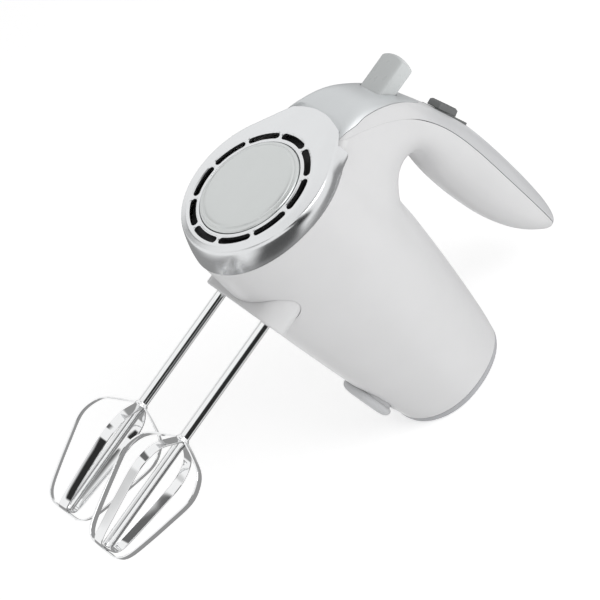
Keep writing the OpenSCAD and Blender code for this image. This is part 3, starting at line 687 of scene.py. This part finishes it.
def front_cap():
    n = 900
    rows = list(curve(CAP, 26))
    crest, rim = rows[-1], np.array(RIM)
    rows = rows[:-1] + [crest * (1 - w) + rim * w - [d, 0, 0, 0, 0, 0]
                        for w, d in ((0.0, 0.22), (0.02, 0.06), (0.05, 0.0), (0.1, 0.0), (0.3, 0), (0.5, 0),
                                     (0.75, 0), (1, 0))]
    rings = [cap_ring(r, n) for r in rows]
    t = np.arctan2(rings[-1][:, 1], rings[-1][:, 0])
    outer = rings[-1]
    circle = np.stack([30.9 * np.cos(t), 30.9 * np.sin(t), np.full(n, 0.4)], 1)
    for w in np.linspace(0, 1, 22)[1:]:
        rings.append(outer * (1 - w) + circle * w)
    for r, z in ((30.75, 0.36), (30.62, 0.25), (30.5, 0.0), (30.48, -0.9), (30.46, -2.0), (30.2, -2.15),
                 (27, -2.2)):
        rings.append(np.stack([r * np.cos(t), r * np.sin(t), np.full(n, z)], 1))
    v = np.vstack(rings)
    q = ring_faces(len(rings), n)[:, ::-1]
    deep = slot_depth(v)
    flat = (v[:, 2] > 0.3) & (np.hypot(v[:, 0], v[:, 1]) < 40)
    v[:, 2] -= np.where(flat, 0.4 * np.clip(1 + deep / 0.7, 0, 1) ** 2, 0)
    v = placed(v, FACE_MID, FACE_TILT)
    s = sheet_from(v, q)
    s = clip(s, lambda p: -notch_depth(p) - CAP_GAP)
    return clip(s, lambda p: -np.where(local(p, FACE_MID, FACE_TILT)[:, 2] > -1,
                                       slot_depth(local(p, FACE_MID, FACE_TILT)), -9))


thick_sheet("front_cap_skin", front_cap(), CAP_WALL, "housing", SILVER,
            replaces=["front_cap"])

# painted shade: a near-black plate behind the vent slots stands in for the shaded inside of the casing seen
# through them
v, f = lathe([(-6.6, 28.4), (-6.6, 39.4), (-7.2, 39.8), (-8.0, 39.4), (-8.0, 28.4)], 96, "z")
object_from("vent_shade_plate", placed(v, FACE_MID, FACE_TILT), f, "housing", VENT_SHADE_LOOK, 40)

# badge: a dished disc with a fine groove inside its rim
profile = [(-1.8, 0.4), (-1.8, 29.6), (-1.4, 30.1), (0.35, 30.15), (0.75, 30.0), (1.05, 29.6), (1.35, 28.6),
           (1.42, 28.2),
           (1.30, 28.0), (1.22, 27.8), (1.36, 27.55), (1.75, 27.2), (1.95, 26.6), (2.1, 25), (2.3, 20),
           (2.45, 14),
           (2.55, 8), (2.6, 3), (2.62, 0.3)]
v, f = lathe(profile, 160, "z")
object_from("badge_dish", placed(v, FACE_MID, FACE_TILT), f, "housing", BADGE, 55,
            replaces=["badge_disc"])

# ---------------------------------------------------------------- heel cover, foot, port, gland
def heel_ring(z, g, n=160):
    p = section(30.5 + g, 41.4 + g, 33.4 + g, 2.05, 2.05, n)
    return placed(np.stack([-4 + p[:, 1], p[:, 0], np.full(n, float(z))], 1), HEEL_MID, HEEL_TILT)


rings = [heel_ring(z, g) for z, g in ((-0.3, -3.0), (-0.3, -0.5), (-0.5, -0.15), (-0.9, 0.0), (-2.2, 0.0),
                                      (-2.9, -0.1),
                                     (-4.2, -0.55), (-5.1, -1.3), (-5.7, -2.4), (-6.0, -4.2), (-6.0, -10))]
v, f = closed_loft(rings)
heel = object_from("heel_cover_dome", v, [x[::-1] for x in f], "housing", PALE, 40,
                   replaces=["heel_cover"])
screw_spots = [(-27, 0), (22, 14), (22, -14)]
cut_with(heel, [(placed(a, HEEL_MID, HEEL_TILT), b) for a, b in
                (lathe([(-8, 3.3), (-3.9, 3.3), (-3.9, 1.7), (2, 1.7)], 40, "z", (x, y, 0)) for x,
                 y in screw_spots)])
sharpen(heel, 35)


def cross_bar(turn, mid, half_l, half_w, z0, z1):
    """A slightly tapered bar, for one arm of a screw's cross recess."""
    pts = []
    for z, k in ((z0, 1.0), (z1, 0.55)):
        for a, b in ((-1, -1), (1, -1), (1, 1), (-1, 1)):
            x, y = a * half_l * k, b * half_w
            pts.append([mid[0] + x * math.cos(turn) - y * math.sin(turn),
                        mid[1] + x * math.sin(turn) + y * math.cos(turn), z])
    faces = [[0, 3, 2, 1], [4, 5, 6, 7], [0, 1, 5, 4], [1, 2, 6, 5], [2, 3, 7, 6], [3, 0, 4, 7]]
    return np.array(pts), faces


for k, (x, y) in enumerate(screw_spots):
    v, f = lathe([(8, 0.5), (7.4, 1.35), (-4.2, 1.4), (-4.3, 2.6), (-4.5, 2.9), (-5.0, 2.9), (-5.4, 2.5),
                  (-5.65, 1.6), (-5.7, 0.4)],
                 48, "z", (x, y, 0))
    ob = object_from("heel_screw_%d" % (k + 1), placed(v, HEEL_MID, HEEL_TILT), f, "housing",
                     SLOT_LOOKS["steel"], 35, replaces=["heel_screws"] if k == 0 else ())
    turn = 0.4 + 0.7 * k
    bars = [cross_bar(turn + j * math.pi / 2, (x, y), 1.75, 0.34, -6.2, -4.5) for j in range(2)]
    cut_with(ob, [(placed(a, HEEL_MID, HEEL_TILT), b) for a, b in bars])
    sharpen(ob, 35)


def stadium_ring(x, z_mid, along, half, r, n=96):
    """A stadium in plan at height x, long along y or z."""
    t = 2 * np.pi * np.arange(n) / n
    shift = np.where(np.cos(t) > 0, half, -half)
    a, b = r * np.cos(t) + shift, r * np.sin(t)
    y, z = (a, b) if along == "y" else (b, a)
    return np.stack([np.full(n, float(x)), y, z + z_mid], 1)


rings = [stadium_ring(x, FOOT_Z, "z", 3.4, r) for x, r in
         ((6, 11.4), (1.9, 12.0), (1.5, 12.9), (0.9, 13.6), (0.0, 13.9), (-1.0, 13.7), (-2.0, 13.1),
          (-2.9, 12.0), (-3.5, 10.4), (-3.85, 8.2), (-4, 5.5), (-4, 2))]
v, f = closed_loft(rings)
object_from("bowl_rest_foot_pad", v, f, "housing", COVER_WITH_PAINTED_LIGHT, 50, replaces=["bowl_rest_foot"])

rings = [stadium_ring(x, PORT_Z, "y", HALF_PITCH, r) for x, r in
         ((22, 10.6), (1.3, 10.85), (0.7, 10.75), (0.3, 10.4), (0.06, 9.8), (0.0, 9.0), (0.0, 5.0))]
v, f = closed_loft(rings)
port = object_from("beater_port_plate", v, f, "housing", WHITE, 45, replaces=["beater_port"])
tools = []
for s in (-1, 1):
    tools.append(lathe([(-2, 7.0), (-0.01, 7.0), (0.55, 6.3), (0.55, 4.5), (24, 4.5)], 64, "x",
                       (0, s * HALF_PITCH, 0)))
cut_with(port, tools)
sharpen(port, 35)

v, f = lathe([(-151.7, 2.4), (-151.9, 2.8), (-151.6, 3.3), (-149.8, 3.5), (-149.6, 3.2), (-148.9, 3.2),
              (-148.7, 3.5), (-147.6, 3.5),
              (-147.2, 4.3), (-144.6, 4.3), (-144.4, 3.5), (-142.8, 3.5), (-142.6, 2.4)], GLAND_N, "z",
              (GLAND_X, 0, 0))
last = len(v) - GLAND_N
tube = f[:-2]  # without its two end caps, then joined into a sleeve
for k in range(GLAND_N):
    beside = (k + 1) % GLAND_N
    tube.append([last + k, k, beside, last + beside])
object_from("cord_gland_sleeve", v, tube, "housing", CONTROL, 40, replaces=["cord_gland"])


# ---------------------------------------------------------------- eject button
def button_ring(x, g, crown, n=96):
    """A rounded oblong of 10.4 by 19, with a crowned top where crown is 1."""
    r = 2.5 + g * 0.4
    hz, hy = 5.2 + g, 9.5 + g
    t = 2 * np.pi * (np.arange(n) + 0.5) / n
    c, s = np.cos(t), np.sin(t)
    e = 7.0
    rho = (abs(c) ** e + abs(s) ** e) ** (-1 / e)
    z, y = hz * rho * c, hy * rho * s
    drop = crown * (2.6 * (y / 9.5) ** 2 + 0.9 * (z / 5.2) ** 2)
    return np.stack([x - drop, y, z + BUTTON_Z], 1)


rings = [button_ring(118, -0.1, 0), button_ring(126, -0.05, 0), button_ring(134, 0, 0.2),
         button_ring(146, 0, 0.8),
         button_ring(157.2, 0, 1), button_ring(157.7, -0.08, 1), button_ring(158.05, -0.3, 1),
         button_ring(158.25, -0.7, 1),
         button_ring(158.3, -1.3, 1), button_ring(158.3, -2.4, 1), button_ring(158.3, -3.6, 1),
         button_ring(158.3, -4.8, 1)]
v, f = closed_loft(rings)
object_from("eject_button_cap", v, f, "ejector", CONTROL, 60, replaces=["eject_button"])


# ---------------------------------------------------------------- speed slider
def oblong_ring(x, half_z, half_y, r, mid_z=0.0, n=64):
    t = 2 * np.pi * (np.arange(n) + 0.5) / n
    c, s = np.cos(t), np.sin(t)
    z = np.sign(c) * (half_z - r) + r * c
    y = np.sign(s) * (half_y - r) + r * s
    return np.stack([np.full(n, float(x)), y, z + mid_z], 1)


def slider_piece(name, parts, body, look, replaces=()):
    verts, faces, base = [], [], 0
    for rings in parts:
        v, f = closed_loft(rings)
        verts.append(v)
        faces += [[i + base for i in x] for x in f]
        base += len(v)
    return object_from(name, placed(np.vstack(verts), SLIDER_MID, -SLIDER_TILT), faces, body, look,
                       40, replaces=replaces)


bezel = slider_piece("slider_bezel_frame", [[oblong_ring(-2.2, 13.6, 6.1, 1.6, -3),
                                             oblong_ring(0.2, 13.9, 6.4, 1.6, -3),
                                            oblong_ring(0.6, 13.8, 6.3, 1.5, -3),
                                            oblong_ring(0.8, 13.4, 5.9, 1.3, -3),
                                            oblong_ring(0.8, 11.6, 3.6, 0.8, -3)]],
                     "housing", CONTROL_DARK, ["slider_bezel"])
hole = closed_loft([oblong_ring(-4, 11, 3, 0.6, -3), oblong_ring(0.5, 11, 3, 0.6, -3),
                    oblong_ring(2.0, 12.2, 4.2, 0.6, -3)])
cut_with(bezel, [(placed(hole[0], SLIDER_MID, -SLIDER_TILT), hole[1])])
sharpen(bezel, 35)

thumb = [[oblong_ring(-13, 3, 2.6, 0.4), oblong_ring(1.2, 3, 2.6, 0.4)],
         # a thin skirt that keeps the slot closed as the slider travels
         [oblong_ring(-4.6, 15.8, 3.3, 0.6, 2.2), oblong_ring(-4.1, 15.8, 3.3, 0.6, 2.2)],
         [oblong_ring(1.0, 7.0, 5.1, 0.8), oblong_ring(1.2, 7.3, 5.4, 0.9), oblong_ring(4.2, 7.1, 5.3, 0.9),
          oblong_ring(4.6, 6.9, 5.1, 0.8), oblong_ring(4.8, 6.6, 4.8, 0.7), oblong_ring(4.8, 3, 2, 0.6)]]
for k in range(5):
    z = -5.4 + k * 2.7
    thumb.append([oblong_ring(4.4, 0.8, 4.7, 0.3, z), oblong_ring(5.0, 0.75, 4.6, 0.3, z),
                  oblong_ring(5.28, 0.4, 4.2, 0.2, z),
                  oblong_ring(5.3, 0.2, 3.6, 0.1, z)])
slider_piece("speed_slider_thumb", thumb, "slider", CONTROL_DARK, ["speed_slider"])


# ---------------------------------------------------------------- beaters
WHISK_TOP, WHISK_LEN, WHISK_R, BLADE_W, BLADE_T = -75.0, 71.5, 25.6, 5.4, 1.0
BLADE = curve([[0, 3.4], [3.2, 10.6], [8.6, 20], [16, WHISK_R - 1.2], [24.5, WHISK_R], [38, WHISK_R - 3],
               [52, WHISK_R - 6.6], [64.5, WHISK_R - 10.4], [69.4, WHISK_R - 13.6]], 60)


def blade_path(inset):
    """Middle of the band, as [x, radius]: down one side to the bottom's middle, then up the other."""
    line = [[-min(d, WHISK_LEN - inset - 1.6), r - inset] for d, r in BLADE]
    line += [[-WHISK_LEN + inset, WHISK_R - 17], [-WHISK_LEN + inset, WHISK_R - 20],
             [-WHISK_LEN + inset, 3], [-WHISK_LEN + inset, 0]]
    half = np.array(line, float)
    whole = np.vstack([half, (half * [1, -1])[::-1][1:]])
    step = np.r_[0, np.cumsum(np.linalg.norm(np.diff(whole, axis=0), axis=1))]
    s = np.linspace(0, step[-1], 300)
    whole = np.stack([np.interp(s, step, whole[:, k]) for k in range(2)], 1)
    for _ in range(14):  # eases the corners at the bottom
        whole[1:-1] = whole[1:-1] * 0.5 + (whole[:-2] + whole[2:]) * 0.25
    return whole


def blade_band(inset, turn, side):
    path = blade_path(inset)
    d = np.gradient(path, axis=0)
    d /= np.linalg.norm(d, axis=1)[:, None]
    inward = np.stack([d[:, 1], -d[:, 0]], 1)
    if (inward[60] @ [0, 1]) > 0:
        inward = -inward
    # cross-section of the band: [inward, across], with eased edges and faintly crowned faces
    w, t = BLADE_W / 2, BLADE_T
    sec = [(0.25, -w), (0.05, -w + 0.2), (0.0, -w + 0.6), (-0.0, 0), (0.0, w - 0.6), (0.05, w - 0.2),
           (0.25, w),
           (t - 0.25, w), (t - 0.05, w - 0.2), (t, w - 0.6), (t, 0), (t, -w + 0.6), (t - 0.05, -w + 0.2),
           (t - 0.25, -w)]
    rings = []
    a = math.radians(turn)
    for p, n in zip(path, inward):
        pts = []
        for i, c in sec:
            q = p + n * i
            pts.append([WHISK_TOP + q[0], side * HALF_PITCH + q[1] * math.cos(a) - c * math.sin(a),
                        q[1] * math.sin(a) + c * math.cos(a)])
        rings.append(np.array(pts))
    return closed_loft(rings)


SHAFT = [(-143.9, 0.6), (-143.9, 2.2), (-143.5, 2.8), (-142.8, 3.0), (-80.2, 3.0), (-79.6, 3.15),
         (-78.2, 3.7), (-76.6, 3.95),
         (-75.2, 3.95), (-74.4, 3.6), (-73.9, 3.1), (-73.4, 3.0), (26.0, 3.0), (26.3, 2.7), (27.4, 2.7),
         (27.7, 3.0),
         (50.8, 3.0), (51.6, 2.6), (52.0, 1.8), (52.0, 0.4)]
for name, side, turn in (("left", -1, 20.0), ("right", 1, 35.0)):
    v, f = lathe(SHAFT, 64, "x", (0, side * HALF_PITCH, 0))
    body = name + "_beater"
    object_from(name + "_beater_rod", v, f, body, CHROME, 40,
                replaces=[name + "_beater_shaft"])
    for which, inset, extra in (("outer", 0.0, 0), ("inner", 1.1, 90)):
        v, f = blade_band(inset, turn + extra, side)
        object_from("%s_%s_blade_band" % (name, which), v, f, body, CHROME, 35,
                    replaces=["%s_%s_loop" % (name, which)])

# ---------------------------------------------------------------- ejector's return springs
SPRING_LOW, SPRING_LENGTH, SPRING_R, WIRE_R, TURNS = 65.2, 12.0, 7.2, 0.43, 5


def spring_coil(side):
    """A round wire wound about a spindle."""
    rings = []
    a = np.linspace(0, 2 * np.pi, 12, endpoint=False)
    for t in np.linspace(0, 1, TURNS * 40 + 1):
        turn = 2 * np.pi * TURNS * t
        radius = SPRING_R + WIRE_R * np.cos(a)
        rings.append(np.stack([SPRING_LOW + SPRING_LENGTH * t + WIRE_R * np.sin(a),
                               side * HALF_PITCH + radius * math.cos(turn), radius * math.sin(turn)], 1))
    return closed_loft(rings)


for name, side in (("left", -1), ("right", 1)):
    v, f = spring_coil(side)
    spring = object_from(name + "_eject_spring_coil", v, f, "housing", SLOT_LOOKS["steel"], 60,
                         replaces=["eject_spring"] if side < 0 else ())
    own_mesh(spring)

# ---------------------------------------------------------------- camera
CAM_AIM = Vector((-0.03955, -0.01503, 0.13842))
azimuth, elevation, roll, distance = math.radians(-9.17), math.radians(41.41), math.radians(-42.09), 1.05
back = Vector((math.sin(azimuth) * math.cos(elevation), -math.cos(azimuth) * math.cos(elevation),
               math.sin(elevation)))
flat_right = Vector((0, 0, 1)).cross(back).normalized()
flat_up = back.cross(flat_right)
right = math.cos(roll) * flat_right + math.sin(roll) * flat_up
up = back.cross(right)
camera = bpy.data.objects.new("camera", bpy.data.cameras.new("camera"))
camera.data.lens, camera.data.sensor_width = 117.0, 36.0
turned = Matrix((right, up, back)).transposed().to_4x4()
camera.matrix_world = Matrix.Translation(CAM_AIM + back * distance) @ turned
bpy.context.scene.collection.objects.link(camera)
bpy.context.scene.camera = camera

# ---------------------------------------------------------------- studio
VIEW_DIR = np.array([back.x, back.y, back.z])
SIDE_DIR = np.cross(UP, VIEW_DIR)
SIDE_DIR /= np.linalg.norm(SIDE_DIR)
if SIDE_DIR @ FORWARD > 0:
    SIDE_DIR = -SIDE_DIR


def area(name, direction, far, size, watts, shine):
    light = bpy.data.lights.new(name, "AREA")
    light.shape, light.size, light.energy = "DISK", size, watts
    ob = bpy.data.objects.new(name, light)
    d = Vector(direction).normalized()
    ob.location = CAM_AIM + d * far
    ob.rotation_mode = "QUATERNION"
    ob.rotation_quaternion = (-d).to_track_quat("-Z", "Y")
    ob.visible_glossy = shine
    ob.visible_camera = False
    bpy.context.scene.collection.objects.link(ob)


area("fill", UP * -1.0 + LEFT * 0.5 + FORWARD * 0.6, 1.2, 0.8, 2.6, False)
area("key", UP * 0.9 + LEFT * 1.0 + FORWARD * 0.7, 1.3, 0.9, 5.0, True)

world = bpy.data.worlds.new("studio")
bpy.context.scene.world = world
world.use_nodes = True
wt = world.node_tree
wt.nodes.clear()


def math_node(op, a, b=None, clamp=False):
    n = wt.nodes.new("ShaderNodeMath")
    n.operation, n.use_clamp = op, clamp
    for k, value in enumerate((a, b)):
        if value is None:
            continue
        if isinstance(value, (int, float)):
            n.inputs[k].default_value = value
        else:
            wt.links.new(value, n.inputs[k])
    return n.outputs["Value"]


def dot_with(vector):
    n = wt.nodes.new("ShaderNodeVectorMath")
    n.operation = "DOT_PRODUCT"
    wt.links.new(coords.outputs["Generated"], n.inputs[0])
    n.inputs[1].default_value = tuple(vector)
    return n.outputs["Value"]


def ease(value, lo, hi):
    n = wt.nodes.new("ShaderNodeMapRange")
    n.interpolation_type = "SMOOTHSTEP"
    n.inputs["From Min"].default_value, n.inputs["From Max"].default_value = lo, hi
    wt.links.new(value, n.inputs["Value"])
    return n.outputs["Result"]


def window(value, lo, hi, soft):
    return math_node("MULTIPLY", ease(value, lo - soft, lo + soft),
                     math_node("SUBTRACT", 1.0, ease(value, hi - soft, hi + soft)))


coords = wt.nodes.new("ShaderNodeTexCoord")
angle = math_node("ARCTAN2", dot_with(SIDE_DIR), dot_with(VIEW_DIR))
angle = math_node("MULTIPLY", angle, 180 / math.pi)
height = dot_with(UP)
# dark cards of the studio, which only reflections see:
# [angle from, to, softness, height from, to, softness, share of the light taken away]
CARDS = [[-8, 90, 4, -0.16, 0.16, 0.04, 0.97],
         [52, 112, 8, -0.85, -0.12, 0.10, 0.90],
         [-112, -96, 4, -0.12, 0.06, 0.04, 0.75],
         [-82, -36, 6, -0.56, -0.30, 0.08, 0.30],
         [-36, -14, 3, -0.75, -0.28, 0.04, 0.97],
         [-80, -30, 5, 0.30, 0.50, 0.03, 0.85],
         [112, 170, 6, -1.2, 1.2, 0.1, 0.68],
         [-180, -150, 8, -1.2, 1.2, 0.1, 0.68]]
bright = 1.0
for a0, a1, sa, h0, h1, sh, share in CARDS:
    patch = math_node("MULTIPLY", window(angle, a0, a1, sa), window(height, h0, h1, sh))
    bright = math_node("MULTIPLY", bright, math_node("SUBTRACT", 1.0, math_node("MULTIPLY", patch, share)))
path = wt.nodes.new("ShaderNodeLightPath")
AMBIENT, SEEN = 0.48, 1.0
gloss = math_node("MULTIPLY", bright, path.outputs["Is Glossy Ray"])
soft = math_node("ADD", math_node("MULTIPLY", height, 0.26),
                 math_node("MULTIPLY", dot_with(VIEW_DIR), 0.10))
soft = math_node("ADD", soft, AMBIENT)
plain = math_node("MULTIPLY", math_node("SUBTRACT", 1.0, path.outputs["Is Glossy Ray"]), soft)
level = math_node("ADD", gloss, plain)
level = math_node("MAXIMUM", level, math_node("MULTIPLY", path.outputs["Is Camera Ray"], SEEN))
background = wt.nodes.new("ShaderNodeBackground")
wt.links.new(level, background.inputs["Strength"])
background.inputs["Color"].default_value = (1.0, 1.0, 1.0, 1)
output = wt.nodes.new("ShaderNodeOutputWorld")
wt.links.new(background.outputs["Background"], output.inputs["Surface"])

floor_mesh = bpy.data.meshes.new("floor")
floor_mesh.from_pydata([(-8, -8, 0), (8, -8, 0), (8, 8, 0), (-8, 8, 0)], [], [(0, 1, 2, 3)])
floor = bpy.data.objects.new("floor", floor_mesh)
floor_look = bpy.data.materials.new("pale_floor")
floor_look.use_nodes = True
shader = floor_look.node_tree.nodes["Principled BSDF"]
shader.inputs["Base Color"].default_value = (0.9, 0.9, 0.9, 1)
shader.inputs["Roughness"].default_value = 0.9
shader.inputs["Specular IOR Level"].default_value = 0.1
shader.inputs["Emission Color"].default_value = (1, 1, 1, 1)
shader.inputs["Emission Strength"].default_value = 0.42
floor_mesh.materials.append(floor_look)
floor.visible_glossy = False
bpy.context.scene.collection.objects.link(floor)

bpy.context.scene.view_settings.view_transform = "Standard"
bpy.context.scene.view_settings.look = "None"
